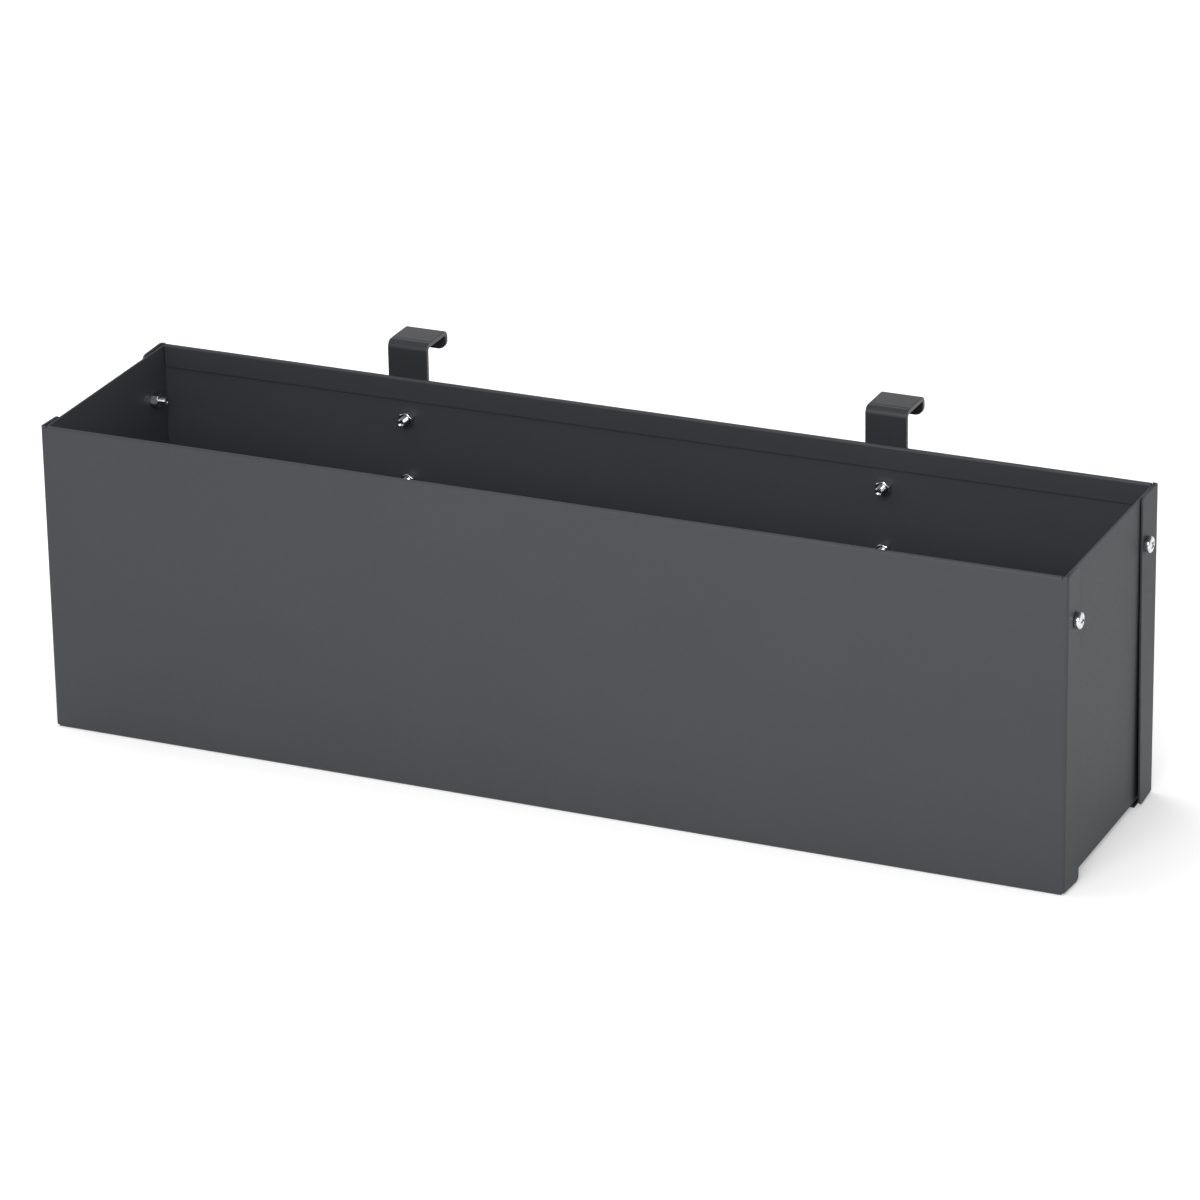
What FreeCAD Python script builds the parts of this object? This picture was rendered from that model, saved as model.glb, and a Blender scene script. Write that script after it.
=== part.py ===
"""Window box planter: a flat-pack trough of folded, powder coated sheet steel with two rail hangers.

Frame: X runs along the trough, Y from its front face to the rail behind it, Z up. The origin is the
middle of the overall footprint, hooks included, on the surface that the trough stands on. Sizes are mm.
"""
import FreeCAD
import Part
import math
import os

# ---- Trough ---------------------------------------------------------------------------------------
trough_length = 620.0  # over the outside of the folded end flanges
trough_depth = 148.5  # front face to back face
trough_height = 187.0  # underside of the bottom lips to the top of the rim
sheet = 1.2  # steel sheet with its coating
bend_inside = 0.8  # inside radius of every press-brake bend

front_fold = 20.5  # width of the front panel's end flanges and of its bottom lip
back_fold = 25.0  # the same for the back panel
flange_corner = 4.0  # round free corners of those flanges
flange_foot = 1.5  # lower edges of those flanges above the underside of the lips
hem_width = 14.0  # rim folded back on itself inside the trough
hem_gap = 0.6  # between the folded hem and the panel

flange_fit = 1.0  # between a flange and the end panel behind it
edge_fit = 0.3  # beside every other edge that drops in between folds
end_panel_drop = 0.8  # top edge of the end panels below the top of the rim
end_lip = 18.0  # end panels fold inwards over the bottom panel

drain_hole = 8.0
drain_count = 5
drain_pitch = 110.0

# ---- Rail hangers ------------------------------------------------------------------------------
hanger_width = 25.0
hanger_thickness = 3.0
hanger_spacing = 297.0  # between the two hangers' middles
hanger_bend_inside = 1.5
hook_rise = 21.2  # top of the hook above the rim
hook_reach = 29.0  # back face of the trough to the outside of the hook's tongue
hook_tongue = 11.8  # height of the turned-down tongue, from the top of the hook
hanger_end_round = 5.0  # round corners at both ends of the flat bar
hanger_tail = 15.0  # flat bar below the lower screw

# ---- M5 pan head screws with hexagon nuts ---------------------------------------------------------
thread_diameter = 5.0
thread_end_chamfer = 0.7
hole_clearance = 0.5  # on the diameter of every screw hole
head_diameter = 9.5
head_height = 3.7
head_side_height = 1.8  # straight side of the pan head under its dome
recess_span = 5.0  # tip to tip of the cross recess
recess_slot = 1.3
recess_depth = 2.4
nut_across_flats = 8.0
nut_height = 4.7
nut_bore_clearance = 0.1  # on the diameter
nut_turns = {  # degrees that each tightened nut happens to stand from a corner straight up
    "left_hanger_upper": 12.0,
    "left_hanger_lower": 4.0,
    "right_hanger_upper": 11.0,
    "right_hanger_lower": -16.0,
    "front_left_corner": 10.0,
    "front_right_corner": -8.0,
    "back_left_corner": 22.0,
    "back_right_corner": 5.0,
}
corner_screw_length = 12.0
hanger_screw_length = 14.0

corner_screw_below_rim = 29.5
corner_screw_edge = 6.5  # from the free edge of a flange
hanger_screw_below_rim = 25.0
hanger_screw_pitch = 38.0  # upper to lower screw of one hanger

# ---- Worked out from the sizes above ---------------------------------------------------------------
bend_outside = bend_inside + sheet
hem_thickness = 2 * sheet + hem_gap
hem_outside = hem_thickness / 2
half_length = trough_length / 2
front_y = -(trough_depth + hook_reach) / 2
back_y = front_y + trough_depth
bend_start_x = half_length - bend_outside  # where the web of a long panel ends and its corner bend begins
web_top_z = trough_height - hem_outside  # the flanges and the straight web end here, and the hem begins
bottom_panel_z = sheet  # on the lips of the front and back panels
end_lip_z = bottom_panel_z + sheet  # end panels' lips lie on the bottom panel
end_outer_x = half_length - sheet - flange_fit
end_inner_x = end_outer_x - sheet
hem_half_length = end_inner_x - edge_fit
drop_in_inset = bend_outside + edge_fit  # from the outside of a folded panel to an edge that clears its bend
corner_screw_z = trough_height - corner_screw_below_rim
corner_screw_ys = {
    "front": front_y + front_fold - corner_screw_edge,
    "back": back_y - back_fold + corner_screw_edge,
}
hook_top_z = trough_height + hook_rise
hanger_screw_zs = {
    "upper": trough_height - hanger_screw_below_rim,
    "lower": trough_height - hanger_screw_below_rim - hanger_screw_pitch,
}
hanger_bottom_z = hanger_screw_zs["lower"] - hanger_tail
hanger_xs = {"left": -hanger_spacing / 2, "right": hanger_spacing / 2}
screw_hole = thread_diameter + hole_clearance

X = FreeCAD.Vector(1, 0, 0)
Y = FreeCAD.Vector(0, 1, 0)
Z = FreeCAD.Vector(0, 0, 1)
ORIGIN = FreeCAD.Vector(0, 0, 0)
TINY = 1e-6


# ---- Folded sheet ---------------------------------------------------------------------------------
def folded_section(corners, thickness, inside_radius):
    """Outline of a strip folded along straight runs, as a wire in the XY plane.

    corners are points on the middle of the strip's thickness. Each inner corner is a round bend with
    the given inside radius, so the outside of the bend is one thickness larger.
    """
    points = [FreeCAD.Vector(a, b, 0) for a, b in corners]
    middle_radius = inside_radius + thickness / 2
    directions = [(q - p).normalize() for p, q in zip(points, points[1:])]
    normals = [Z.cross(d) for d in directions]
    sides = []
    for offset in (thickness / 2, -thickness / 2):
        edges = []
        here = points[0] + normals[0] * offset
        for i in range(1, len(points) - 1):
            turn = directions[i - 1].cross(directions[i]).z
            way = 1 if turn > 0 else -1
            angle = directions[i - 1].getAngle(directions[i])
            reach = middle_radius * math.tan(angle / 2)
            first = points[i] - directions[i - 1] * reach
            last = points[i] + directions[i] * reach
            centre = first + normals[i - 1] * (way * middle_radius)
            outwards = (points[i] - centre).normalize()
            radius = middle_radius - way * offset
            arc_start = first + normals[i - 1] * offset
            arc_end = last + normals[i] * offset
            if (arc_start - here).Length > TINY:
                edges.append(Part.makeLine(here, arc_start))
            edges.append(Part.Arc(arc_start, centre + outwards * radius, arc_end).toShape())
            here = arc_end
        end = points[-1] + normals[-1] * offset
        if (end - here).Length > TINY:
            edges.append(Part.makeLine(here, end))
        sides.append(edges)
    caps = []
    for point, normal in ((points[0], normals[0]), (points[-1], normals[-1])):
        half_across = normal * (thickness / 2)
        caps.append(Part.makeLine(point - half_across, point + half_across))
    return Part.Wire(Part.__sortEdges__([caps[0], *sides[0], caps[1], *sides[1]]))


def swept_section(wire, first_axis, second_axis, start, length):
    """The section, with its own X and Y laid along two row axes, carried along the third from start."""
    third = first_axis.cross(second_axis)
    face = Part.Face(wire)
    turn = FreeCAD.Rotation(first_axis, second_axis, third, "ZXY")
    face.Placement = FreeCAD.Placement(third * start, turn)
    return face.extrude(third * length)


def round_corners(solid, points, radius):
    """Rounds the short edges whose middles lie at these points."""
    edges = [e for e in solid.Edges if any((e.CenterOfMass - p).Length < sheet / 4 for p in points)]
    return solid.makeFillet(radius, edges)


def drilled(solid, centres, axis, diameter, depth):
    """Straight holes through the solid, each centred on its point and running both ways along the axis."""
    for centre in centres:
        solid = solid.cut(Part.makeCylinder(diameter / 2, 2 * depth, centre - axis * depth, axis))
    return solid


# ---- Front and back panels: web, bottom lip, rim hem and two end flanges from one sheet ----------------
def long_panel(fold_width):
    """A panel with its outer face at Y = 0 and its folds towards +Y."""
    half = sheet / 2
    web_and_lip = folded_section([(fold_width, half), (half, half), (half, web_top_z)], sheet, bend_inside)
    panel = swept_section(web_and_lip, Y, Z, -bend_start_x, 2 * bend_start_x)

    leaf = hem_thickness - half
    fold = trough_height - half
    hem_section = [(half, web_top_z), (half, fold), (leaf, fold), (leaf, trough_height - hem_width)]
    hem = folded_section(hem_section, sheet, hem_gap / 2)
    panel = panel.fuse(swept_section(hem, Y, Z, -hem_half_length, 2 * hem_half_length))

    flange_section = [(bend_start_x, half), (half_length - half, half), (half_length - half, fold_width)]
    flange_wire = folded_section(flange_section, sheet, bend_inside)
    flange = swept_section(flange_wire, X, Y, flange_foot, web_top_z - flange_foot)
    free_corners = [FreeCAD.Vector(half_length - half, fold_width, z) for z in (flange_foot, web_top_z)]
    flange = round_corners(flange, free_corners, flange_corner)
    screw_at = FreeCAD.Vector(half_length, fold_width - corner_screw_edge, corner_screw_z)
    flange = drilled(flange, [screw_at], X, screw_hole, 2 * sheet)
    panel = panel.fuse([flange, flange.mirror(ORIGIN, X)])
    return panel.removeSplitter()


def front_panel():
    return long_panel(front_fold).translated(Y * front_y)


def back_panel():
    """Like the front panel, turned round, with wider folds and four holes for the hangers."""
    panel = long_panel(back_fold).rotated(ORIGIN, Z, 180).translated(Y * back_y)
    centres = [FreeCAD.Vector(x, back_y, z) for x in hanger_xs.values() for z in hanger_screw_zs.values()]
    return drilled(panel, centres, Y, screw_hole, 2 * sheet)


# ---- End panels: flat sheet inside the flanges, with a lip over the bottom panel -----------------------
def right_end_panel():
    middle_x = end_outer_x - sheet / 2
    lip_middle_z = end_lip_z + sheet / 2
    section = [
        (end_outer_x - end_lip, lip_middle_z),
        (middle_x, lip_middle_z),
        (middle_x, trough_height - end_panel_drop),
    ]
    wire = folded_section(section, sheet, bend_inside)
    width = trough_depth - 2 * drop_in_inset
    # X and Z laid this way round carry the section along -Y.
    panel = swept_section(wire, X, Z, -(front_y + drop_in_inset + width), width)
    centres = [FreeCAD.Vector(middle_x, y, corner_screw_z) for y in corner_screw_ys.values()]
    return drilled(panel, centres, X, screw_hole, 2 * sheet)


def left_end_panel():
    return right_end_panel().mirror(ORIGIN, X)


# ---- Bottom panel: a loose plate on the long panels' lips, held down by the end panels' lips ------------
def bottom_panel():
    length = 2 * (end_outer_x - drop_in_inset)
    depth = trough_depth - 2 * drop_in_inset
    corner = FreeCAD.Vector(-length / 2, front_y + drop_in_inset, bottom_panel_z)
    plate = Part.makeBox(length, depth, sheet, corner)
    middle_y = (front_y + back_y) / 2
    first_x = -drain_pitch * (drain_count - 1) / 2
    xs = [first_x + i * drain_pitch for i in range(drain_count)]
    centres = [FreeCAD.Vector(x, middle_y, bottom_panel_z) for x in xs]
    return drilled(plate, centres, Z, drain_hole, 2 * sheet)


# ---- Hangers: flat bar bent into a hook over the rail, screwed to the outside of the back panel ----------
def hanger(x):
    half = hanger_thickness / 2
    section = [
        (half, hanger_bottom_z),
        (half, hook_top_z - half),
        (hook_reach - half, hook_top_z - half),
        (hook_reach - half, hook_top_z - hook_tongue),
    ]
    bar_wire = folded_section(section, hanger_thickness, hanger_bend_inside)
    bar = swept_section(bar_wire, Y, Z, -hanger_width / 2, hanger_width)
    sides = (-hanger_width / 2, hanger_width / 2)
    bar_end_corners = [FreeCAD.Vector(s, half, hanger_bottom_z) for s in sides]
    tongue_corners = [FreeCAD.Vector(s, hook_reach - half, hook_top_z - hook_tongue) for s in sides]
    bar = round_corners(bar, bar_end_corners + tongue_corners, hanger_end_round)
    centres = [FreeCAD.Vector(0, half, z) for z in hanger_screw_zs.values()]
    bar = drilled(bar, centres, Y, screw_hole, 2 * hanger_thickness)
    return bar.translated(FreeCAD.Vector(x, back_y, 0))


# ---- Screws and nuts ------------------------------------------------------------------------------------
def pan_head_screw(length):
    """Head above Z = 0 and thread below it, so Z = 0 is the face under the head."""
    head_radius = head_diameter / 2
    thread_radius = thread_diameter / 2
    profile = [
        (0, head_height),
        (0, -length),
        (thread_radius - thread_end_chamfer, -length),
        (thread_radius, thread_end_chamfer - length),
        (thread_radius, 0),
        (head_radius, 0),
        (head_radius, head_side_height),
    ]
    corners = [FreeCAD.Vector(radius, 0, z) for radius, z in profile]
    outline = [Part.makeLine(a, b) for a, b in zip(corners, corners[1:])]
    # The dome is a circle through the head's shoulder and its top, and level at the top.
    outline.append(Part.Arc(corners[-1], dome_point(head_radius / 2), corners[0]).toShape())
    body = Part.Face(Part.Wire(outline)).revolve(ORIGIN, Z, 360)
    return body.cut(cross_recess())


def dome_point(radius):
    """Point of the head's dome at this distance from its axis."""
    rise = head_height - head_side_height
    dome_radius = ((head_diameter / 2) ** 2 + rise**2) / (2 * rise)
    return FreeCAD.Vector(radius, 0, head_height - dome_radius + math.sqrt(dome_radius**2 - radius**2))


def cross_recess():
    """Two crossed slots that narrow to a point like the tip of a screwdriver."""
    floor_z = head_height - recess_depth
    slot_corner = FreeCAD.Vector(-recess_span / 2, -recess_slot / 2, floor_z)
    slot = Part.makeBox(recess_span, recess_slot, head_height, slot_corner)
    cross = slot.fuse(slot.rotated(ORIGIN, Z, 90))
    tip = Part.makeCone(recess_slot / 2, recess_span / 2, recess_depth, FreeCAD.Vector(0, 0, floor_z))
    mouth = Part.makeCylinder(recess_span / 2, head_height, FreeCAD.Vector(0, 0, head_height))
    return cross.common(tip.fuse(mouth))


def hexagon_nut(turn):
    """Nut on the Z axis, from Z = 0 up, with both faces chamfered to a circle."""
    corner_radius = nut_across_flats / 2 / math.cos(math.pi / 6)
    corners = []
    for i in range(7):
        angle = math.radians(60 * i + turn)
        corners.append(FreeCAD.Vector(corner_radius * math.sin(angle), corner_radius * math.cos(angle), 0))
    prism = Part.Face(Part.makePolygon(corners)).extrude(Z * nut_height)
    # A 30 degree cone at each face takes the corners off.
    chamfer = (corner_radius - nut_across_flats / 2) * math.tan(math.pi / 6)
    flat_radius = nut_across_flats / 2
    lower = Part.makeCone(flat_radius, corner_radius, chamfer)
    middle = Part.makeCylinder(corner_radius, nut_height - 2 * chamfer, Z * chamfer)
    upper = Part.makeCone(corner_radius, flat_radius, chamfer, Z * (nut_height - chamfer))
    blank = prism.common(lower.fuse([middle, upper]))
    bore = Part.makeCylinder((thread_diameter + nut_bore_clearance) / 2, nut_height)
    return blank.cut(bore).removeSplitter()


def laid_along(shape, outwards, seat):
    """Turns a fastener's Z axis outwards and moves its Z = 0 face to the seat."""
    up = Z if abs(outwards.z) < 0.5 else X
    turned = shape.copy()
    turned.Placement = FreeCAD.Placement(seat, FreeCAD.Rotation(up.cross(outwards), up, outwards, "ZYX"))
    return turned


def fastener_pair(name, screw_length, outwards, screw_seat, nut_seat):
    """A screw from outside and its nut inside. outwards points from the trough to the screw's head."""
    return {
        name + "_screw": laid_along(pan_head_screw(screw_length), outwards, screw_seat),
        name + "_nut": laid_along(hexagon_nut(nut_turns[name]), outwards * -1, nut_seat),
    }


def fasteners():
    made = {}
    for side, way in (("left", -1), ("right", 1)):
        for end, y in corner_screw_ys.items():
            name = f"{end}_{side}_corner"
            screw_seat = FreeCAD.Vector(way * half_length, y, corner_screw_z)
            nut_seat = FreeCAD.Vector(way * end_inner_x, y, corner_screw_z)
            made.update(fastener_pair(name, corner_screw_length, X * way, screw_seat, nut_seat))
        for level, z in hanger_screw_zs.items():
            screw_seat = FreeCAD.Vector(hanger_xs[side], back_y + hanger_thickness, z)
            nut_seat = FreeCAD.Vector(hanger_xs[side], back_y - sheet, z)
            name = f"{side}_hanger_{level}"
            made.update(fastener_pair(name, hanger_screw_length, Y, screw_seat, nut_seat))
    return made


# ---- The assembly ---------------------------------------------------------------------------------------
def assembly():
    nodes = {
        "front_panel": front_panel(),
        "back_panel": back_panel(),
        "left_end_panel": left_end_panel(),
        "right_end_panel": right_end_panel(),
        "bottom_panel": bottom_panel(),
    }
    for side, x in hanger_xs.items():
        nodes[side + "_hanger"] = hanger(x)
    nodes.update(fasteners())
    return nodes


os.makedirs("parts", exist_ok=True)
for node, shape in assembly().items():
    if len(shape.Solids) != 1 or not shape.isValid():
        raise RuntimeError(f"{node} is {len(shape.Solids)} solids, valid: {shape.isValid()}")
    shape.Solids[0].exportStep(f"parts/{node}.step")
    box = shape.BoundBox
    print(f"{node}: {box.XLength:.1f} x {box.YLength:.1f} x {box.ZLength:.1f} mm")
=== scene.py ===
"""Window box planter: folded, powder coated sheet steel with two rail hangers and zinc plated screws.

Sizes are in millimetres, and each mesh is written in metres. X runs along the trough, Y from its front face
to the rail behind it, Z up, and the origin lies on the surface that the trough stands on, as in the frame.
"""
import bpy
import math
import numpy as np
from mathutils import Matrix, Vector


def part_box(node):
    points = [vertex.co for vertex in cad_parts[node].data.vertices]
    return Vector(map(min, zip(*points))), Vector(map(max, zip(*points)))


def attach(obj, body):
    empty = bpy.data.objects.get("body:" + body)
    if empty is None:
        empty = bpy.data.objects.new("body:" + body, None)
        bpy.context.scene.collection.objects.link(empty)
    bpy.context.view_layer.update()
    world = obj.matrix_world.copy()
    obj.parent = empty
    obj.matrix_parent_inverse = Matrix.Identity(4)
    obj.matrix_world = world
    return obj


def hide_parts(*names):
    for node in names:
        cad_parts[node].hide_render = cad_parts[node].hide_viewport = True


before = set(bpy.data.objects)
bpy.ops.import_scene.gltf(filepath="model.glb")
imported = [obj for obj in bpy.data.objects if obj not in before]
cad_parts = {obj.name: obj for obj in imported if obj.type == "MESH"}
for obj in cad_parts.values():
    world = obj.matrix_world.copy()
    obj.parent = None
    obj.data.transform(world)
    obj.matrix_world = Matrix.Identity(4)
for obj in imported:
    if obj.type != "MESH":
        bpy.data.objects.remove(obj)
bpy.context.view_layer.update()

# ---- Front and back panels ---------------------------------------------------------------------------
# Each long panel is one blank of mild steel sheet with its corners cut out, folded on a press brake: a
# flange round each end, a lip inwards at the bottom, and a hem folded flat on itself along the rim.
# It is powder coated after folding, and screws through its flanges hold the end panels.
sheet = 1.2  # with its coating
bend_inside = 0.8
hem_gap = 0.6
hem_width = 14.0
edge_fit = 0.3  # between the hem's ends and the end panels
hem_closing = 0.04  # radians: the hem is folded on past flat, so that its free edge rests near the panel
flange_corner = 4.0
flange_foot = 1.5  # flanges' lower edges above the lips' undersides
flange_stand_out = {  # of the free edge, at foot and top
    "front_panel": (1.5, -0.8),
    "back_panel": (1.3, -0.6),
}
screw_hole = 5.5
coated_edge = 0.25  # the coating rounds every cut edge
millimetre = 0.001  # in metres
TINY = 0.001  # smaller than any step between grid lines
coarse_grid = 20.0
bend_cells = 8
hem_cells = 6  # over the second half of the fold
ear_cells = 4  # over its first half, beside the ear
corner_cells = 10
hole_cells = 16  # across a hole's block, so the hole is drawn with twice as many corners


def box_mm(node):
    """Lowest and highest corners of a node of the frame, in millimetres."""
    return np.array(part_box(node)) / millimetre


def middle_mm(node):
    """Middle of a node's box, in millimetres."""
    return box_mm(node).mean(axis=0)


def follow(path, start, heading, distance):
    """Points of a line of straight runs and arcs at distances from its start, and its heading at each.

    path lists (length, turn), with turn in radians, anticlockwise, and as an array where it differs from
    point to point. On a straight run the point moves by the heading's cosine and sine times the length. On
    an arc the heading grows evenly, so the point moves by the change of the heading's sine and of minus its
    cosine, divided by the turn per length.
    """
    across = start[0] + 0 * distance
    up = start[1] + 0 * distance
    angle = heading + 0 * distance
    for length, turn in path:
        step = np.clip(distance, 0, length)
        if np.any(turn):
            rate = turn / length
            across = across + (np.sin(heading + rate * step) - np.sin(heading)) / rate
            up = up + (np.cos(heading) - np.cos(heading + rate * step)) / rate
            angle = angle + rate * step
        else:
            across = across + np.cos(heading) * step
            up = up + np.sin(heading) * step
        heading = heading + turn
        distance = distance - length
    return across, up, angle


def grid_lines(low, high, fine):
    """Lines of a blank's grid, coarse from low to high, with each finer (start, end, cells) let into them."""
    coarse = np.linspace(low, high, 1 + max(1, round((high - low) / coarse_grid)))
    lines = [(low, high)]
    for start, end, cells in fine:
        coarse = coarse[(coarse < start - sheet) | (coarse > end + sheet)]
        lines.append(np.linspace(start, end, cells + 1))
    return np.unique(np.concatenate([coarse, *lines]).round(4))


def stretch(one_end, other_end, cells):
    """A stretch of finer grid lines between two ends, given in either order."""
    return (min(one_end, other_end), max(one_end, other_end), cells)


def hole_block(middle, diameter):
    """The stretch of finer grid lines round a hole: a block of two diameters."""
    return (middle - diameter, middle + diameter, hole_cells)


def round_corner(u, v, corner, inwards, radius):
    """Pulls the grid into a round corner of the blank.

    In the square of one radius at the corner, a and b run from 0 on the inner sides to 1 on the outer ones.
    They become a * sqrt(1 - b*b/2) and b * sqrt(1 - a*a/2), which turns the outer sides into the arc.
    """
    a = 1 - inwards[0] * (u - corner[0]) / radius
    b = 1 - inwards[1] * (v - corner[1]) / radius
    inside = (a > 0) & (b > 0)
    a = np.clip(a, 0, 1)
    b = np.clip(b, 0, 1)
    round_u = corner[0] + inwards[0] * radius * (1 - a * np.sqrt(1 - b * b / 2))
    round_v = corner[1] + inwards[1] * radius * (1 - b * np.sqrt(1 - a * a / 2))
    return np.where(inside, round_u, u), np.where(inside, round_v, v)


def open_hole(u, v, middle, diameter):
    """Pulls the grid round a hole, and says which points lie in the middle that is cut away.

    The block's square rings shrink from the outside, where they stay, to half its size, where they are
    pulled all the way onto the hole's circle, along the line from the hole's middle.
    """
    a = (u - middle[0]) / diameter
    b = (v - middle[1]) / diameter
    ring = np.maximum(np.abs(a), np.abs(b))
    reach = np.maximum(np.hypot(a, b), TINY)
    pull = np.where((ring < 1) & (ring > 0.5 - TINY), 2 * (1 - ring), 0)
    round_u = middle[0] + diameter * a * (1 - pull + pull / (2 * reach))
    round_v = middle[1] + diameter * b * (1 - pull + pull / (2 * reach))
    return round_u, round_v, ring < 0.5


def new_piece(name, points, faces):
    """A smooth shaded mesh object, from points in millimetres."""
    mesh = bpy.data.meshes.new(name)
    mesh.from_pydata((points * millimetre).tolist(), [], faces)
    mesh.shade_smooth()
    piece = bpy.data.objects.new(name, mesh)
    bpy.context.scene.collection.objects.link(piece)
    return piece


def round_edges(piece, name, radius, segments, sharper_than):
    """Rounds the piece's edges that turn by more than an angle in degrees, and keeps its flat faces flat."""
    rounding = piece.modifiers.new(name, "BEVEL")
    rounding.width = radius * millimetre
    rounding.segments = segments
    rounding.limit_method = "ANGLE"
    rounding.angle_limit = math.radians(sharper_than)
    rounding.use_clamp_overlap = False
    flats = piece.modifiers.new("flat faces stay flat", "WEIGHTED_NORMAL")
    flats.keep_sharp = True


def folded_sheet(name, middle, outwards, keep, thickness, edge_radius):
    """A closed sheet round its middle surface: two faces half a thickness away, and a wall on each edge.

    middle and outwards are grids of points and unit normals. keep says which cells are sheet, and an edge
    that only one kept cell uses gets a wall. The walls' corners are then rounded to the edge radius.
    """
    index = np.arange(middle[..., 0].size).reshape(middle.shape[:2])
    corners = [index[:-1, :-1], index[1:, :-1], index[1:, 1:], index[:-1, 1:]]
    cells = np.stack(corners, axis=-1)[keep]
    edges = np.stack([cells, np.roll(cells, -1, axis=1)], axis=-1).reshape(-1, 2)
    low_high = np.sort(edges, axis=1)
    edge_number = low_high[:, 0] * index.size + low_high[:, 1]
    _, first, uses = np.unique(edge_number, return_index=True, return_counts=True)
    rim = edges[first[uses == 1]]
    other_side = index.size
    walls = np.stack([rim[:, 1], rim[:, 0], rim[:, 0] + other_side, rim[:, 1] + other_side], axis=-1)
    faces = np.concatenate([cells, cells[:, ::-1] + other_side, walls])
    used, faces = np.unique(faces, return_inverse=True)
    half = outwards * (thickness / 2)
    points = np.concatenate([middle + half, middle - half]).reshape(-1, 3)[used]
    piece = new_piece(name, points, faces.reshape(-1, 4).tolist())
    round_edges(piece, "coated edges", edge_radius, segments=3, sharper_than=40)
    return piece


def blank_grid(u_lines, v_lines, holes):
    """Grid points of a flat blank with its holes opened, the cells' middles, and the cells that holes cut."""
    u, v = np.meshgrid(u_lines, v_lines, indexing="ij")
    cell_u = (u[:-1, :-1] + u[1:, 1:]) / 2
    cell_v = (v[:-1, :-1] + v[1:, 1:]) / 2
    cut = np.zeros(cell_u.shape, bool)
    for at, diameter in holes:
        cut |= open_hole(cell_u, cell_v, at, diameter)[2]
        u, v, _ = open_hole(u, v, at, diameter)
    return u, v, cell_u, cell_v, cut


quarter = math.pi / 2
half_sheet = sheet / 2
bend_outside = bend_inside + sheet
bend_run = (bend_inside + half_sheet) * quarter  # length of a bend along the middle of the sheet
hem_radius = (hem_gap + sheet) / 2
hem_run = hem_radius * math.pi
hem_end = box_mm("right_end_panel")[1][0] - sheet - edge_fit


def blank_outline(u, v, web_end, web_top, flange_top):
    """Which cells of a long panel's blank are sheet: the web with its lip, the flanges, and the hem.

    Past the end of the hem, a narrow ear of the web rises to the flange's upper edge.
    """
    in_flange = (np.abs(u) > web_end) & (v > flange_foot) & (v < flange_top)
    in_ear = (np.abs(u) > hem_end + edge_fit) & (np.abs(u) < web_end) & (v > web_top) & (v < flange_top)
    in_web_and_lip = (np.abs(u) < web_end) & (v < web_top)
    in_hem = (np.abs(u) < hem_end) & (v > web_top)
    return in_flange | in_ear | in_web_and_lip | in_hem


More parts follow.
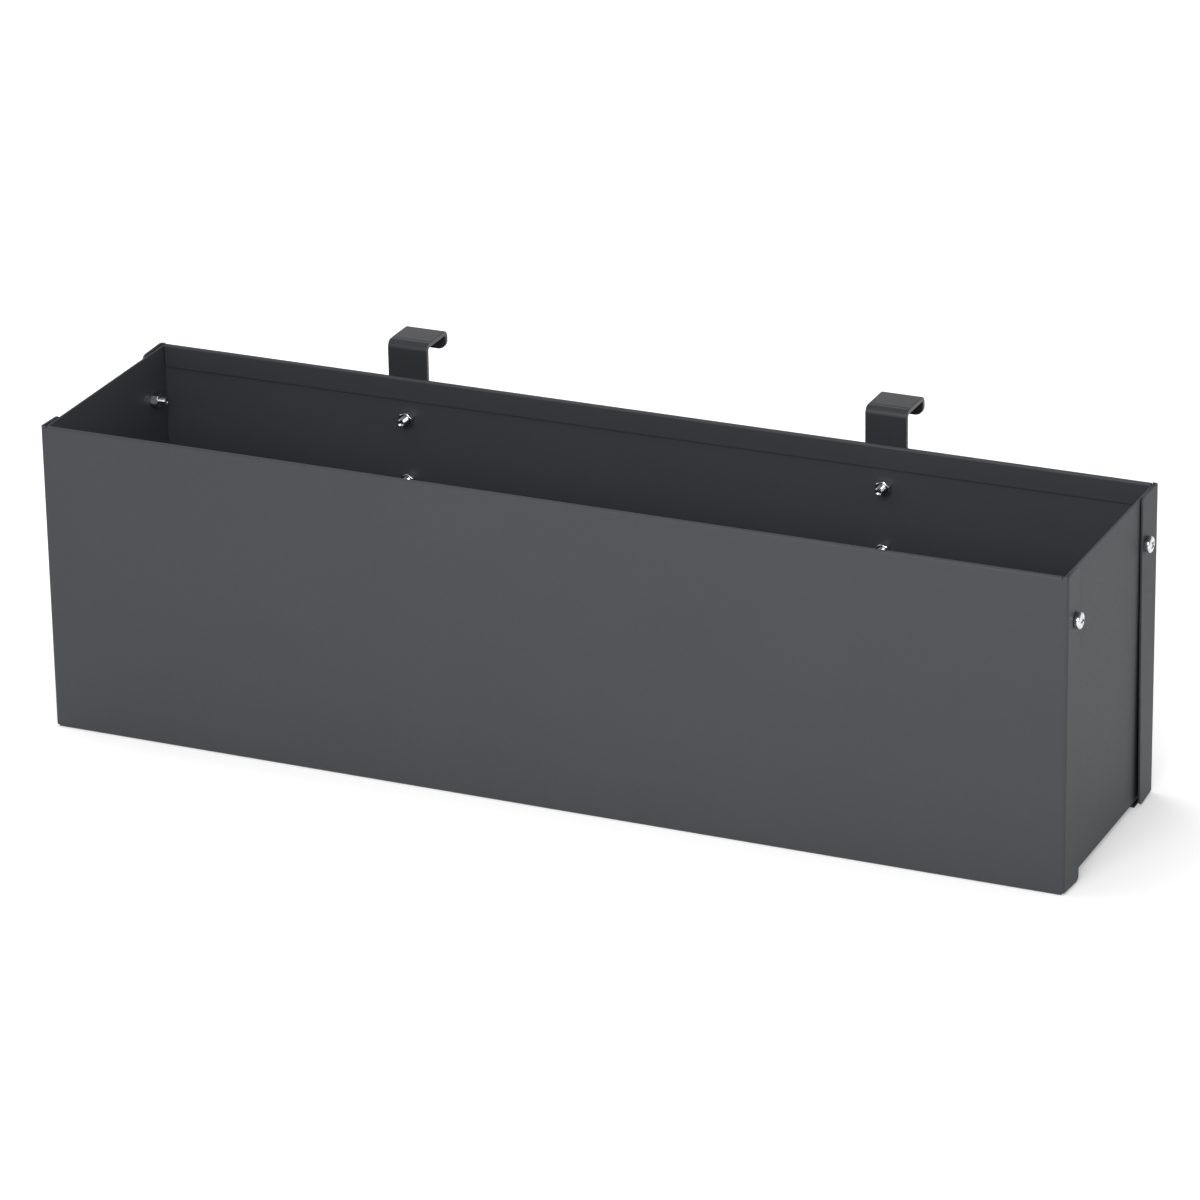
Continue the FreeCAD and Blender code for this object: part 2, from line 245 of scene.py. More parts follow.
def long_panel(node, free_edge_y, web_holes):
    """Front or back panel, made with its outer face towards -Y and, for the back panel, turned half round.

    On the blank, u runs along the web and round the two flanges, and v is the height on the web, carried on
    down round the lip and up over the hem. Flanges bend in plan, and lip and hem bend in the cross section.
    The flanges are not quite square. Their free edge's stand-out changes from the top's value to the foot's,
    half of it in proportion to the way down and half with its square, and the fold is opened by its angle.
    """
    low, high = box_mm(node)
    fold = high[1] - low[1]
    flange_top = high[2]
    web_top = flange_top - half_sheet - hem_radius
    web_end = high[0] - bend_outside
    flat_fold = fold - bend_outside  # flat part of a flange, and of the lip
    blank_end = web_end + bend_run + flat_fold
    lip_run = flat_fold - bend_outside + bend_run  # how far the blank goes below height 0
    hem_flat = hem_width - (high[2] - web_top)
    blank_top = web_top + hem_run + hem_flat
    screw = middle_mm(node.replace("panel", "right_corner_screw"))
    screw_u = blank_end - abs(screw[1] - free_edge_y)
    holes = [((side * screw_u, screw[2]), screw_hole) for side in (-1, 1)] + web_holes

    u_fine = [hole_block(at[0], diameter) for at, diameter in holes]
    for side in (-1, 1):
        u_fine.append(stretch(side * web_end, side * (web_end + bend_run), bend_cells))
        u_fine.append(stretch(side * (blank_end - flange_corner), side * blank_end, corner_cells))
        u_fine.append(stretch(side * hem_end, side * (hem_end + edge_fit), 1))
    v_fine = [hole_block(at[1], diameter) for at, diameter in holes]
    v_fine.append(stretch(bend_outside - bend_run, flange_foot, bend_cells))
    v_fine.append(stretch(flange_foot, flange_foot + flange_corner, corner_cells))
    v_fine.append(stretch(flange_top - flange_corner, web_top, corner_cells // 2))
    v_fine.append(stretch(web_top, flange_top, ear_cells))
    v_fine.append(stretch(flange_top, web_top + hem_run, hem_cells))
    u_lines = grid_lines(-blank_end, blank_end, u_fine)
    v_lines = grid_lines(-lip_run, blank_top, v_fine)
    u, v, cell_u, cell_v, cut = blank_grid(u_lines, v_lines, holes)
    beside_web = (v >= flange_foot) & (v <= flange_top)
    for side in (-1, 1):
        for corner_v, inwards in ((flange_foot, 1), (flange_top, -1)):
            rounded = round_corner(u, v, (side * blank_end, corner_v), (-side, inwards), flange_corner)
            u = np.where(beside_web, rounded[0], u)
            v = np.where(beside_web, rounded[1], v)
    keep = blank_outline(cell_u, cell_v, web_end, web_top, flange_top) & ~cut

    way_down = np.clip(1 - v / flange_top, 0, 1)
    at_foot, at_top = flange_stand_out[node]
    stand_out = at_top + (at_foot - at_top) * (way_down + way_down**2) / 2
    plan = [(web_end, 0), (bend_run, quarter - stand_out / flat_fold), (flat_fold, 0)]
    x, plan_y, plan_angle = follow(plan, (0, half_sheet), 0, np.abs(u))
    web_flat = web_top - bend_outside
    hem = [(hem_run, -math.pi - hem_closing), (hem_flat, 0)]
    section = [(flat_fold, 0), (bend_run, -quarter), (web_flat, 0), *hem]
    section_y, section_z, section_angle = follow(section, (fold, half_sheet), math.pi, v + lip_run)
    upright = (np.abs(u) > web_end + TINY) | ((np.abs(u) > hem_end + TINY) & (v > web_top))
    way = np.sign(u)
    y = np.where(upright, plan_y, section_y)
    z = np.where(upright, v, section_z)
    middle = np.stack([way * x, y, z], axis=-1)
    flange_normal = np.stack([way * np.sin(plan_angle), -np.cos(plan_angle), 0 * u], axis=-1)
    section_normal = np.stack([0 * u, -np.sin(section_angle), np.cos(section_angle)], axis=-1)
    outwards = np.where(upright[..., None], flange_normal, section_normal)
    if node == "back_panel":
        half_turn = np.array([-1, -1, 1])
        middle = middle * half_turn + [0, high[1], 0]
        outwards = outwards * half_turn
    else:
        middle = middle + [0, low[1], 0]
    return folded_sheet(node + "_coated", middle, outwards, keep, sheet, coated_edge)


def linear(hex_colour):
    """An sRGB hex colour as linear red, green, blue and alpha."""
    parts = np.array([int(hex_colour[i : i + 2], 16) for i in (1, 3, 5)]) / 255
    straight = np.where(parts <= 0.04045, parts / 12.92, ((parts + 0.055) / 1.055) ** 2.4)
    return (*straight.tolist(), 1.0)


def add_node(tree, kind, inputs=None, **settings):
    """One node. settings are its own properties, and inputs gives each socket a value or a socket to link."""
    made = tree.nodes.new(kind)
    for name, value in settings.items():
        setattr(made, name, value)
    sockets = {socket.identifier: socket for socket in made.inputs}
    for name, value in (inputs or {}).items():
        if isinstance(value, bpy.types.NodeSocket):
            tree.links.new(value, sockets[name])
        else:
            sockets[name].default_value = value
    return made


def surface(name):
    """A new material's node tree and its output node."""
    material = bpy.data.materials.new(name)
    material.use_nodes = True
    material.node_tree.nodes.clear()
    return material, material.node_tree, add_node(material.node_tree, "ShaderNodeOutputMaterial")


def powder_coat(name, thin_film, thick_film, smoothest, roughest):
    """Satin polyester powder coat, baked onto steel: an even dark film with a soft, broad sheen.

    The melted powder flows out into an orange peel some 1.6 mm across, with a grit of 0.5 mm in it. Both are
    drawn deeper than real, so that they just show. The sprayed film varies a little over some 90 mm.
    """
    cloud_size = 90 * millimetre
    peel_size = 1.6 * millimetre
    peel_depth = 0.03 * millimetre
    grit_size = 0.5 * millimetre
    grit_depth = 0.008 * millimetre
    polyester_ior = 1.47
    material, tree, output = surface(name)
    place = add_node(tree, "ShaderNodeTexCoord").outputs["Object"]
    noises = {
        size: add_node(tree, "ShaderNodeTexNoise", {"Vector": place, "Scale": 1 / size, "Detail": detail})
        for size, detail in ((cloud_size, 2.0), (peel_size, 1.0), (grit_size, 0.0))
    }
    film = add_node(
        tree,
        "ShaderNodeMix",
        {
            "Factor_Float": noises[cloud_size].outputs["Fac"],
            "A_Color": linear(thin_film),
            "B_Color": linear(thick_film),
        },
        data_type="RGBA",
    )
    sheen = add_node(
        tree,
        "ShaderNodeMapRange",
        {"Value": noises[peel_size].outputs["Fac"], "To Min": smoothest, "To Max": roughest},
    )
    peel = add_node(
        tree,
        "ShaderNodeBump",
        {"Height": noises[peel_size].outputs["Fac"], "Strength": 1.0, "Distance": peel_depth},
    )
    grit = add_node(
        tree,
        "ShaderNodeBump",
        {
            "Height": noises[grit_size].outputs["Fac"],
            "Normal": peel.outputs["Normal"],
            "Strength": 1.0,
            "Distance": grit_depth,
        },
    )
    coat = add_node(
        tree,
        "ShaderNodeBsdfPrincipled",
        {
            "Base Color": film.outputs["Result"],
            "Roughness": sheen.outputs["Result"],
            "Normal": grit.outputs["Normal"],
            "IOR": polyester_ior,
        },
    )
    tree.links.new(coat.outputs["BSDF"], output.inputs["Surface"])
    return material


def hang(piece, node, material):
    """The piece stands for its node of the frame, in this material."""
    piece.data.materials.append(material)
    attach(piece, "root")
    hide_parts(node)


panel_coat = powder_coat(
    "satin anthracite powder coat", thin_film="#323438", thick_film="#36383C", smoothest=0.54, roughest=0.66
)
hanger_xs = {side: middle_mm(side + "_hanger")[0] for side in ("left", "right")}
hanger_screw_zs = {level: middle_mm(f"left_hanger_{level}_screw")[2] for level in ("upper", "lower")}
hanger_holes = [((x, z), screw_hole) for x in hanger_xs.values() for z in hanger_screw_zs.values()]
front_panel = long_panel("front_panel", box_mm("front_panel")[1][1], [])
back_panel = long_panel("back_panel", box_mm("back_panel")[0][1], hanger_holes)
hang(front_panel, "front_panel", panel_coat)
hang(back_panel, "back_panel", panel_coat)

# ---- End panels ------------------------------------------------------------------------------------
# Flat sheet between the long panels, inside their flanges, cut from the same coated sheet. Each has a lip
# folded inwards over the bottom panel, and two holes for the corner screws.


def end_panel(side, way):
    """An end panel as a strip: u runs across it, v from the lip's free edge round the bend and up."""
    node = side + "_end_panel"
    low, high = box_mm(node)
    outer_x = max(abs(low[0]), abs(high[0]))
    lip_flat = high[0] - low[0] - bend_outside
    lip_z = low[2] + half_sheet
    upright = high[2] - low[2] - bend_outside
    section = [(lip_flat, 0), (bend_run, quarter), (upright, 0)]
    above_bend = lip_flat + bend_run - low[2] - bend_outside  # from a height on the flat to its v
    middle_y = (low[1] + high[1]) / 2
    half_width = (high[1] - low[1]) / 2
    screws = [middle_mm(f"{end}_{side}_corner_screw") for end in ("front", "back")]
    holes = [((way * (screw[1] - middle_y), screw[2] + above_bend), screw_hole) for screw in screws]
    u_fine = [hole_block(at[0], diameter) for at, diameter in holes]
    v_fine = [hole_block(holes[0][0][1], screw_hole), stretch(lip_flat, lip_flat + bend_run, bend_cells)]
    u_lines = grid_lines(-half_width, half_width, u_fine)
    v_lines = grid_lines(0, lip_flat + bend_run + upright, v_fine)
    u, v, _, _, cut = blank_grid(u_lines, v_lines, holes)
    x, z, angle = follow(section, (outer_x - lip_flat - bend_outside, lip_z), 0, v)
    middle = np.stack([way * x, middle_y + way * u, z], axis=-1)
    outwards = np.stack([way * np.sin(angle), 0 * u, -np.cos(angle)], axis=-1)
    return folded_sheet(node + "_coated", middle, outwards, ~cut, sheet, coated_edge)


for side, way in (("left", -1), ("right", 1)):
    hang(end_panel(side, way), side + "_end_panel", panel_coat)

# ---- Bottom panel ----------------------------------------------------------------------------------
# A loose plate of the same coated sheet, laid on the lips of the long panels and under those of the end
# panels. Water drains through a row of punched holes.
drain_hole = 8.0
drain_pitch = 110.0
drain_count = 5


def bottom_panel():
    """The plate, flat, with u along the trough and v across it."""
    low, high = box_mm("bottom_panel")
    middle_y = (low[1] + high[1]) / 2
    first_x = -drain_pitch * (drain_count - 1) / 2
    holes = [((first_x + i * drain_pitch, middle_y), drain_hole) for i in range(drain_count)]
    u_lines = grid_lines(low[0], high[0], [hole_block(at[0], diameter) for at, diameter in holes])
    v_lines = grid_lines(low[1], high[1], [hole_block(middle_y, drain_hole)])
    u, v, _, _, cut = blank_grid(u_lines, v_lines, holes)
    middle = np.stack([u, v, 0 * u + (low[2] + high[2]) / 2], axis=-1)
    return folded_sheet("bottom_panel_coated", middle, 0 * middle + [0, 0, 1], ~cut, sheet, coated_edge)


hang(bottom_panel(), "bottom_panel", panel_coat)

# ---- Rail hangers ----------------------------------------------------------------------------------
# Flat steel bar, 25 by 3 mm, with rounded ends, bent over the rail in two square bends. Its coat is darker
# and glossier than the panels', and two screws clamp it to the outside of the back panel.
bar_thickness = 3.0
bar_bend_inside = 1.5
bar_end_corner = 5.0
bar_edge = 0.45  # the bar's rolled edges are rounder than the sheet's
hook_tongue = 11.8  # height of the turned-down tongue, from the top of the hook
press_mark_depth = 0.2  # left by the bending tool across the top of the hook, next to its front bend
press_mark_width = 0.8


def hanger(node):
    """A hanger as a strip: u runs across the bar, v from its lower end up, over the hook and down the tongue.

    The press mark sinks the strip by its depth times a bell curve of the distance along v.
    """
    low, high = box_mm(node)
    middle_x = (low[0] + high[0]) / 2
    half_width = (high[0] - low[0]) / 2
    half_bar = bar_thickness / 2
    outside = bar_bend_inside + bar_thickness
    turn_run = (bar_bend_inside + half_bar) * quarter
    upright = high[2] - low[2] - outside
    reach = high[1] - low[1] - 2 * outside
    tongue = hook_tongue - outside
    section = [(upright, 0), (turn_run, -quarter), (reach, 0), (turn_run, -quarter), (tongue, 0)]
    bar_end = sum(length for length, _ in section)
    holes = [((0, z - low[2]), screw_hole) for z in hanger_screw_zs.values()]
    first_turn = stretch(upright, upright + turn_run, bend_cells)
    second_turn = stretch(upright + turn_run + reach, bar_end - tongue, bend_cells)
    mark = upright + turn_run + press_mark_width
    mark_end = mark + 3 * press_mark_width  # the bell curve has died away there
    v_fine = [hole_block(at[1], diameter) for at, diameter in holes] + [first_turn, second_turn]
    v_fine.append(stretch(upright + turn_run, mark_end, 2 * bend_cells))
    v_fine.append(stretch(0, bar_end_corner, corner_cells))
    v_fine.append(stretch(bar_end - bar_end_corner, bar_end, corner_cells))
    u_fine = [hole_block(0, screw_hole)]
    for side in (-1, 1):
        u_fine.append(stretch(side * (half_width - bar_end_corner), side * half_width, corner_cells))
    u_lines = grid_lines(-half_width, half_width, u_fine)
    v_lines = grid_lines(0, bar_end, v_fine)
    u, v, _, _, cut = blank_grid(u_lines, v_lines, holes)
    for side in (-1, 1):
        for corner_v, inwards in ((0, 1), (bar_end, -1)):
            u, v = round_corner(u, v, (side * half_width, corner_v), (-side, inwards), bar_end_corner)
    y, z, angle = follow(section, (low[1] + half_bar, low[2]), quarter, v)
    middle = np.stack([middle_x + u, y, z], axis=-1)
    outwards = np.stack([0 * u, -np.sin(angle), np.cos(angle)], axis=-1)
    sunk = press_mark_depth * np.exp(-(((v - mark) / press_mark_width) ** 2))
    middle = middle - outwards * sunk[..., None]
    return folded_sheet(node + "_coated", middle, outwards, ~cut, bar_thickness, bar_edge)


hanger_coat = powder_coat(
    "satin graphite powder coat", thin_film="#292A2D", thick_film="#2D2E31", smoothest=0.38, roughest=0.48
)
for side in ("left", "right"):
    hang(hanger(side + "_hanger"), side + "_hanger", hanger_coat)

# ---- Hexagon nuts ----------------------------------------------------------------------------------
# M5 steel nuts, 8 mm across flats, with both faces turned to a 30 degree chamfer and the bore countersunk,
# then zinc plated bright. They sit inside the trough, each tightened to a chance angle.
nut_across_flats = 8.0
nut_face = 7.6  # diameter of the flat face inside the chamfer
nut_bore = 5.1
nut_countersink = 0.3
nut_chamfer = math.radians(30)
nut_edge = 0.06
nut_columns = 72
nut_turns = {
    "left_hanger_upper": 12.0,
    "left_hanger_lower": 4.0,
    "right_hanger_upper": 11.0,
    "right_hanger_lower": -16.0,
    "front_left_corner": 10.0,
    "front_right_corner": -8.0,
    "back_left_corner": 22.0,
    "back_right_corner": 5.0,
}


def laid_along(rows, outwards, seat):
    """Turns a fastener's Z axis outwards, with its Y axis upright, and moves its zero height to the seat."""
    upright = np.array([0.0, 0.0, 1.0])
    outwards = np.array(outwards, float)
    across = np.cross(upright, outwards)
    return seat + rows[..., :1] * across + rows[..., 1:2] * upright + rows[..., 2:] * outwards


def turned_skin(name, rows, pole_ends, painted_shade_rows=0):
    """A closed mesh from rings of points, one to a row, with a point at both ends or joined end to end.

    A quad joins every two neighbours on two neighbouring rings. Where the ends are points, only one vertex of
    the first and of the last row is used, and triangles meet there. The first rows may be marked for painted
    shade.
    """
    count, columns = rows.shape[:2]
    index = np.arange(count * columns).reshape(count, columns)
    if pole_ends:
        index[0] = index[0, 0]
        index[-1] = index[-1, 0]
        following = index[1:]
        index_from = index[:-1]
    else:
        following = np.roll(index, -1, axis=0)
        index_from = index
    beside_from = np.roll(index_from, -1, axis=1)
    beside_following = np.roll(following, -1, axis=1)
    quads = np.stack([index_from, following, beside_following, beside_from], axis=-1).reshape(-1, 4)
    used, quads = np.unique(quads, return_inverse=True)
    faces = [list(dict.fromkeys(quad)) for quad in quads.reshape(-1, 4).tolist()]
    piece = new_piece(name, rows.reshape(-1, 3)[used], faces)
    # marks the recess's rows, which the zinc paints dark as painted shade
    recess_painted_shade = piece.data.attributes.new("recess_painted_shade", "FLOAT", "POINT")
    recess_painted_shade.data.foreach_set("value", (used < painted_shade_rows * columns).astype(np.float32))
    return piece


def nut_rows(height, turn):
    """Rings of a nut from the lower end of its bore, outwards over its lower face, up its flats and back in.

    A flat's distance from the axis is half the width across flats divided by the cosine of the angle from
    its middle. The chamfer is a cone, which leaves each flat at the height where it has grown that wide.
    """
    half_flat = math.pi / 6  # angle from the middle of a flat to its edge
    angle = np.linspace(0, 2 * math.pi, nut_columns, endpoint=False)
    from_flat = (angle + half_flat) % (2 * half_flat) - half_flat
    hexagon = nut_across_flats / 2 / np.cos(from_flat)
    chamfer = (hexagon - nut_face / 2) * math.tan(nut_chamfer)
    bore = nut_bore / 2
    rings = [
        (bore, nut_countersink),
        (bore + nut_countersink, 0),
        (nut_face / 2, 0),
        (hexagon, chamfer),
        (hexagon, height - chamfer),
        (nut_face / 2, height),
        (bore + nut_countersink, height),
        (bore, height - nut_countersink),
    ]
    from_up = angle + math.radians(turn) + half_flat  # the first angle is the middle of a flat
    ring_points = [[r * np.sin(from_up), r * np.cos(from_up), z + 0 * angle] for r, z in rings]
    return np.moveaxis(np.array(ring_points), 1, 2)


def zinc_plate():
    """Bright zinc plating with a clear passivate on steel: a bluish white metal, bright but not a mirror.

    The plating follows the drawn and rolled steel, so its gloss varies over about 0.8 mm. The recess of a
    screw's head is painted dark, as painted shade in its hollow.
    """
    patch_size = 0.8 * millimetre
    patch_depth = 0.004 * millimetre
    glossiest, dullest = 0.1, 0.24
    # the last colour is painted shade for the screws' recesses
    blue_zinc, white_zinc, painted_recess_shade = "#C6CACF", "#D9DADA", "#4B4D50"
    material, tree, output = surface("bright zinc plated steel")
    place = add_node(tree, "ShaderNodeTexCoord").outputs["Object"]
    patch = add_node(tree, "ShaderNodeTexNoise", {"Vector": place, "Scale": 1 / patch_size, "Detail": 2.0})
    tint = add_node(
        tree,
        "ShaderNodeMix",
        {"Factor_Float": patch.outputs["Fac"], "A_Color": linear(blue_zinc), "B_Color": linear(white_zinc)},
        data_type="RGBA",
    )
    # the mark of the recess's rows, where painted shade is mixed into the zinc
    recess_painted_shade = add_node(tree, "ShaderNodeAttribute", attribute_name="recess_painted_shade").outputs["Fac"]
    shade = add_node(
        tree,
        "ShaderNodeMix",
        {"Factor_Float": recess_painted_shade, "A_Color": tint.outputs["Result"], "B_Color": linear(painted_recess_shade)},
        data_type="RGBA",
    )
    gloss = add_node(
        tree, "ShaderNodeMapRange", {"Value": patch.outputs["Fac"], "To Min": glossiest, "To Max": dullest}
    )
    ripple = add_node(
        tree, "ShaderNodeBump", {"Height": patch.outputs["Fac"], "Strength": 1.0, "Distance": patch_depth}
    )
    plate = add_node(
        tree,
        "ShaderNodeBsdfPrincipled",
        {
            "Base Color": shade.outputs["Result"],
            "Metallic": 1.0,
            "Roughness": gloss.outputs["Result"],
            "Normal": ripple.outputs["Normal"],
        },
    )
    tree.links.new(plate.outputs["BSDF"], output.inputs["Surface"])
    return material


zinc = zinc_plate()
outward_ways = {name: (0, 1, 0) if "hanger" in name else (1, 0, 0) for name in nut_turns}
outward_ways.update({name: (-1, 0, 0) for name in nut_turns if "left_corner" in name})


def nut(name, turn):
    """A nut on the inside, from its seat inwards."""
    outwards = np.array(outward_ways[name])
    low, high = box_mm(name + "_nut")
    middle = (low + high) / 2
    height = abs((high - low) @ outwards)
    seat = middle + outwards * height / 2
    rows = laid_along(nut_rows(height, turn), -outwards, seat)
    piece = turned_skin(name + "_nut_plated", rows, pole_ends=False)
    round_edges(piece, "tumbled edges", nut_edge, segments=2, sharper_than=25)
    return piece


for name, turn in nut_turns.items():
    hang(nut(name, turn), name + "_nut", zinc)

# ---- Pan head screws -------------------------------------------------------------------------------
# M5 steel screws with a cold formed pan head, a punched cross recess and a rolled thread, zinc plated as
# the nuts are. The corner ones go through flange and end panel, the others through bar and back panel.
head_diameter = 9.5
head_height = 3.7
shoulder_angle = math.radians(14)
shoulder_radius = 1.3
under_radius = 0.2
recess_reach = 2.6
recess_slot = 1.35
recess_depth = 2.4
recess_tip_depth = 0.1  # at the arms' tips, as a share of the whole depth
recess_taper = 0.12
recess_rim = 0.05  # width and depth of its broken edge
recess_fill = 1.15  # how far the square between the arms reaches, in slots
recess_rings = (0, 0.3, 0.6, 0.85, 1)  # shares of the way from the axis to the edge of its floor
dome_rings = 7
shoulder_rings = 5
under_rings = 4
thread_diameter = 5.0
thread_pitch = 0.8
thread_depth = 0.46
thread_crest = 0.1  # flat share of the way from the middle of a crest to the middle of a groove
thread_flank = 1.2  # thread depths that the flank falls on the whole of that way, which leaves a flat bottom
thread_chamfer = 0.7
thread_end_hollow = 0.8  # depth of the cup that rolling leaves in the thread's end
thread_end_rings = (1, 0.9, 0.72, 0.5, 0.25, 0)  # shares of the cup's radius, down to its middle
screw_columns = 64
rows_per_pitch = 10
recess_turns = {
    "left_hanger_upper": 35.0,
    "left_hanger_lower": 12.0,
    "right_hanger_upper": -20.0,
    "right_hanger_lower": 60.0,
    "front_left_corner": 5.0,
    "front_right_corner": 4.0,
    "back_left_corner": -40.0,
    "back_right_corner": 40.0,
}

dome_radius = head_diameter / 2 - shoulder_radius * (1 - math.sin(shoulder_angle))
dome_radius /= math.sin(shoulder_angle)


def dome(radius):
    """Height of the head's dome at a distance from its axis: a circle, level at the top."""
    return head_height - dome_radius + np.sqrt(dome_radius**2 - radius**2)


def cross_outline(angle, reach, slot):
    """Distance from the axis to the edge of a cross of four arms, at each angle.

    The nearest arm's side lies at half the slot divided by the sine of the angle from that arm, its tip at
    the reach divided by the cosine, and a square turned by 45 degrees fills the inner corners a little.
    """
    from_arm = np.abs((angle + math.pi / 4) % quarter - math.pi / 4)
    side = slot / 2 / np.maximum(np.sin(from_arm), TINY)
    tip = reach / np.cos(from_arm)
    inner = recess_fill * slot / (np.cos(from_arm) + np.sin(from_arm))
    return np.maximum(np.minimum(side, tip), inner)


def screw_rows(length):
    """Rings of a screw from the bottom of its recess, out over the head, down the thread and in at its end.

    The recess's floor rises evenly from half a slot off the axis to the arms' tips. The thread's groove is a
    ramp of the distance from the crest, held flat at both ends, along a helix of one pitch a turn. The cup in
    the thread's end is a parabola, deepest on the axis.
    """
    angle = np.linspace(0, 2 * math.pi, screw_columns, endpoint=False)
    rings = []
    floor_edge = cross_outline(angle, recess_reach - recess_taper, recess_slot - 2 * recess_taper)
    for share in recess_rings:
        radius = share * floor_edge
        from_tip = (recess_reach - radius) / (recess_reach - recess_slot / 2)
        rings.append((radius, dome(radius) - recess_depth * np.clip(from_tip, recess_tip_depth, 1)))
    rim = cross_outline(angle, recess_reach, recess_slot)
    dome_end = dome_radius * math.sin(shoulder_angle)
    rings.append((rim, dome(rim) - recess_rim))
    for share in np.linspace(0, 1, dome_rings):
        radius = rim + recess_rim + (dome_end - rim - recess_rim) * share
        rings.append((radius, dome(radius)))

    side_flat = dome(dome_end) - shoulder_radius * math.cos(shoulder_angle) - under_radius
    under_flat = head_diameter / 2 - under_radius - thread_diameter / 2
    shoulder_turn = quarter - shoulder_angle
    head = [
        (shoulder_radius * shoulder_turn, -shoulder_turn),
        (side_flat, 0),
        (under_radius * quarter, -quarter),
        (under_flat, 0),
    ]
    shoulder_stops = np.linspace(0, head[0][0], shoulder_rings)[1:]
    under_stops = head[0][0] + side_flat + np.linspace(0, head[2][0], under_rings)
    stops = np.concatenate([shoulder_stops, under_stops])
    radius, height, _ = follow(head, (dome_end, dome(dome_end)), -shoulder_angle, stops)
    rings += list(zip(radius, height))

    thread_radius = thread_diameter / 2
    for z in -np.arange(0, length, thread_pitch / rows_per_pitch):
        turn_share = (z / thread_pitch - angle / (2 * math.pi)) % 1
        ridge = np.abs(2 * turn_share - 1)  # 1 in the groove and 0 on the crest
        groove = thread_depth * np.clip(thread_flank * (ridge - thread_crest), 0, 1)
        cone = thread_radius - thread_chamfer + (z + length)
        rings.append((np.minimum(thread_radius - groove, cone), z))
    end_radius = thread_radius - thread_chamfer
    for share in thread_end_rings:
        rings.append((end_radius * share + 0 * angle, thread_end_hollow * (1 - share**2) - length))
    ring_points = [[r * np.sin(angle), r * np.cos(angle), z + 0 * angle] for r, z in rings]
    return np.moveaxis(np.array(ring_points), 1, 2)


def screw(name):
    """A screw from outside, with its head's underside on its seat."""
    outwards = np.array(outward_ways[name])
    low, high = box_mm(name + "_screw")
    total = abs((high - low) @ outwards)
    seat = (low + high) / 2 + outwards * (total / 2 - head_height)
    turn = math.radians(recess_turns[name])
    rows = screw_rows(total - head_height)
    turned = np.stack(
        [
            rows[..., 0] * math.cos(turn) - rows[..., 1] * math.sin(turn),
            rows[..., 0] * math.sin(turn) + rows[..., 1] * math.cos(turn),
            rows[..., 2],
        ],
        axis=-1,
    )
    rows = laid_along(turned, outwards, seat)
    # the recess's rows get painted shade
    piece = turned_skin(name + "_screw_plated", rows, pole_ends=True, painted_shade_rows=len(recess_rings))
    piece.data.set_sharp_from_angle(angle=math.radians(40))
    return piece


for name in nut_turns:
    hang(screw(name), name + "_screw", zinc)

# ---- Floor, light and camera -----------------------------------------------------------------------
# A plain white studio, in metres: a pale floor that keeps the soft shadow, with painted shade in its glow
# round the trough, one softbox in front and one overhead, and a white room that grows darker towards its
# ceiling. The camera stands far off, to the right and above the rim.
floor_half = 6.0
room_level = 0.55
walls_end = 0.25  # the seen room darkens between these two heights, each the sine of an angle above level
ceiling_start = 0.7
ceiling_level = 0.15
# The floor's glow, seen from the camera and in gloss, is weaker near the trough: painted shade round it,
# which the coat reflects low down.
glow_near = {"distance": 0.3, "level": 0.3}  # the seen floor grows lighter away from the trough
glow_far = {"distance": 1.1, "level": 0.7}
softboxes = {
    "front softbox": {"at": (0.3, -1.1, 0.85), "size": 0.7, "power": 11.5, "mirrored": True},
    "overhead softbox": {"at": (-0.35, 0.12, 1.25), "size": 1.0, "power": 10.0, "mirrored": False},
}
camera_azimuth = math.radians(24.031)
camera_elevation = math.radians(22.642)
camera_roll = math.radians(-0.955)
camera_distance = 3.37038
camera_aim = (0.01295, -0.03378, 0.10771)
lens = 179.83


def seen_directly(tree):
    """1 for rays that show the background itself: from the camera, off metal or coat, or through glass."""
    rays = add_node(tree, "ShaderNodeLightPath").outputs
    seen = rays["Is Camera Ray"]
    for kind in ("Is Glossy Ray", "Is Transmission Ray"):
        either = add_node(
            tree, "ShaderNodeMath", {"Value": seen, "Value_001": rays[kind]}, operation="MAXIMUM"
        )
        seen = either.outputs["Value"]
    return seen


world = bpy.data.worlds.new("white room")
world.use_nodes = True
world.node_tree.nodes.clear()
room = add_node(world.node_tree, "ShaderNodeBackground", {"Color": linear("#FFFFFF"), "Strength": room_level})
direction = add_node(world.node_tree, "ShaderNodeTexCoord").outputs["Generated"]
rise = add_node(world.node_tree, "ShaderNodeSeparateXYZ", {"Vector": direction}).outputs["Z"]
wall_level = add_node(
    world.node_tree,
    "ShaderNodeMapRange",
    {"Value": rise, "From Min": walls_end, "From Max": ceiling_start, "To Min": 1.0, "To Max": ceiling_level},
)
white = add_node(
    world.node_tree,
    "ShaderNodeBackground",
    {"Color": linear("#FFFFFF"), "Strength": wall_level.outputs["Result"]},
)
shown = add_node(
    world.node_tree,
    "ShaderNodeMixShader",
    {
        "Fac": seen_directly(world.node_tree),
        "Shader": room.outputs["Background"],
        "Shader_001": white.outputs["Background"],
    },
)
add_node(world.node_tree, "ShaderNodeOutputWorld", {"Surface": shown.outputs["Shader"]})
bpy.context.scene.world = world

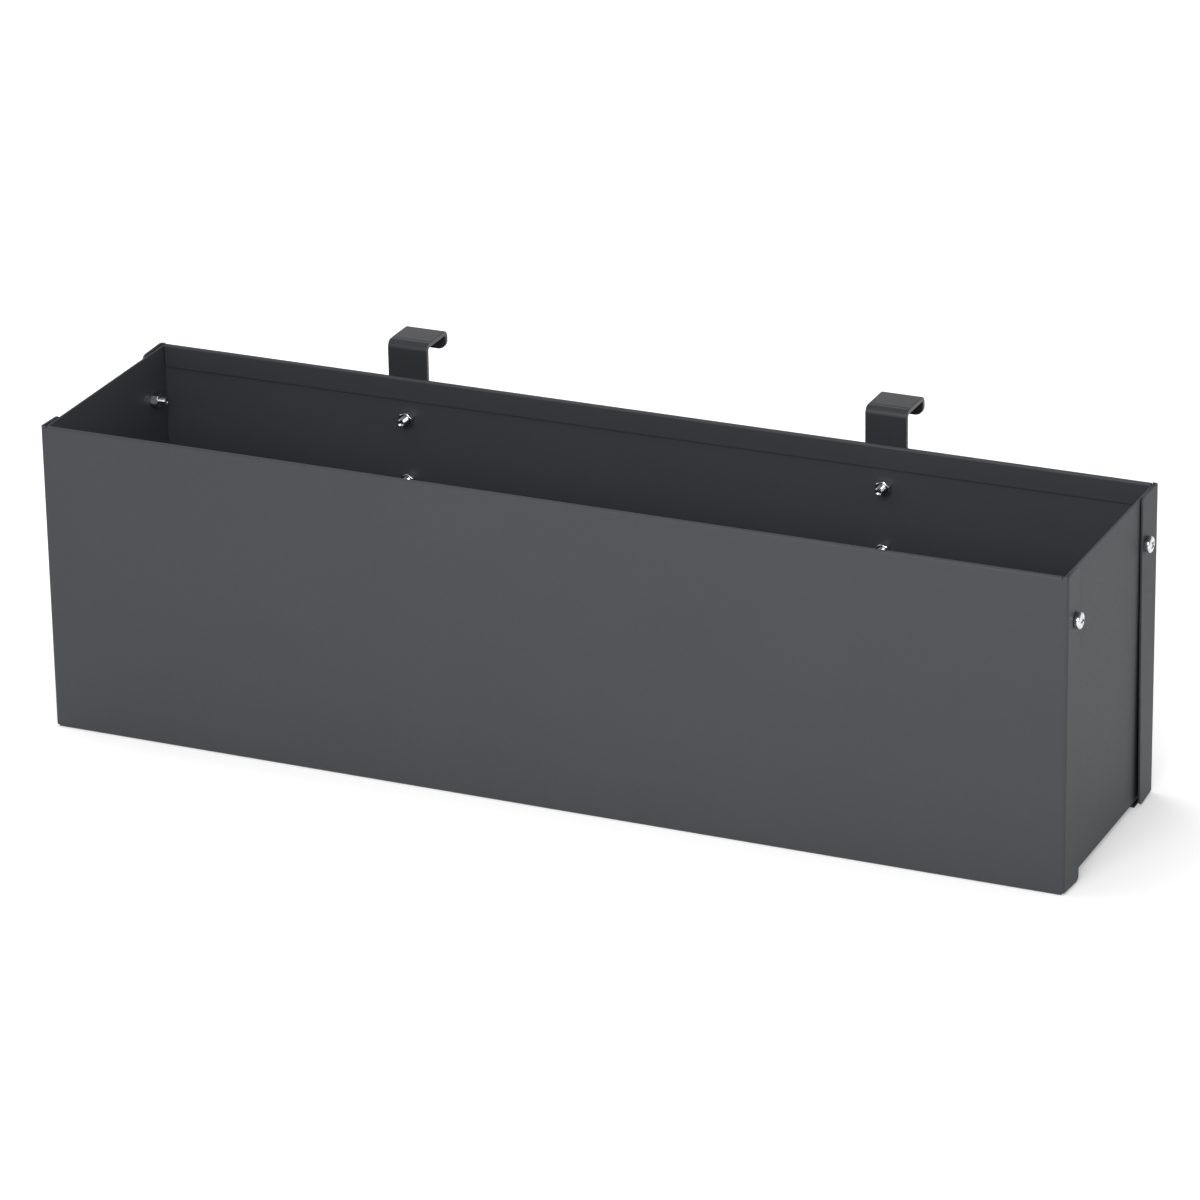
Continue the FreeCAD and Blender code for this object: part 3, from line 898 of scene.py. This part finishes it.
floor_mesh = bpy.data.meshes.new("floor")
floor_corners = [(x * floor_half, y * floor_half, 0) for x, y in ((-1, -1), (1, -1), (1, 1), (-1, 1))]
floor_mesh.from_pydata(floor_corners, [], [(0, 1, 2, 3)])
floor = bpy.data.objects.new("floor", floor_mesh)
bpy.context.scene.collection.objects.link(floor)
floor_paint, tree, output = surface("matt white studio floor")
matt = add_node(tree, "ShaderNodeBsdfDiffuse", {"Color": linear("#E6E6E6")})
place = add_node(tree, "ShaderNodeTexCoord").outputs["Object"]
away = add_node(tree, "ShaderNodeVectorMath", {"Vector": place}, operation="LENGTH").outputs["Value"]
glow_level = add_node(
    tree,
    "ShaderNodeMapRange",
    {
        "Value": away,
        "From Min": glow_near["distance"],
        "From Max": glow_far["distance"],
        "To Min": glow_near["level"],
        "To Max": glow_far["level"],
    },
)
# the glow grows with distance from the trough, leaving painted shade round it in the camera's view and in
# reflections
lift = add_node(
    tree,
    "ShaderNodeMath",
    {"Value": seen_directly(tree), "Value_001": glow_level.outputs["Result"]},
    operation="MULTIPLY",
)
glow = add_node(tree, "ShaderNodeEmission", {"Color": linear("#FFFFFF"), "Strength": lift.outputs["Value"]})
both = add_node(
    tree, "ShaderNodeAddShader", {"Shader": matt.outputs["BSDF"], "Shader_001": glow.outputs["Emission"]}
)
tree.links.new(both.outputs["Shader"], output.inputs["Surface"])
floor_mesh.materials.append(floor_paint)

for name, box in softboxes.items():
    lamp = bpy.data.lights.new(name, "AREA")
    lamp.shape = "SQUARE"
    lamp.size = box["size"]
    lamp.energy = box["power"]
    softbox = bpy.data.objects.new(name, lamp)
    softbox.location = box["at"]
    towards = Vector(camera_aim) - Vector(box["at"])
    softbox.rotation_euler = towards.to_track_quat("-Z", "Y").to_euler()
    softbox.visible_glossy = box["mirrored"]
    bpy.context.scene.collection.objects.link(softbox)

camera = bpy.data.objects.new("camera", bpy.data.cameras.new("camera"))
camera.data.lens = lens
camera.data.sensor_width = 36.0
camera.data.clip_end = 100.0
turn = Matrix.Rotation(camera_azimuth, 4, "Z") @ Matrix.Rotation(quarter - camera_elevation, 4, "X")
turn = turn @ Matrix.Rotation(camera_roll, 4, "Z")
camera.matrix_world = Matrix.Translation(camera_aim) @ turn @ Matrix.Translation((0, 0, camera_distance))
bpy.context.scene.collection.objects.link(camera)
bpy.context.scene.camera = camera
bpy.context.scene.view_settings.view_transform = "Standard"
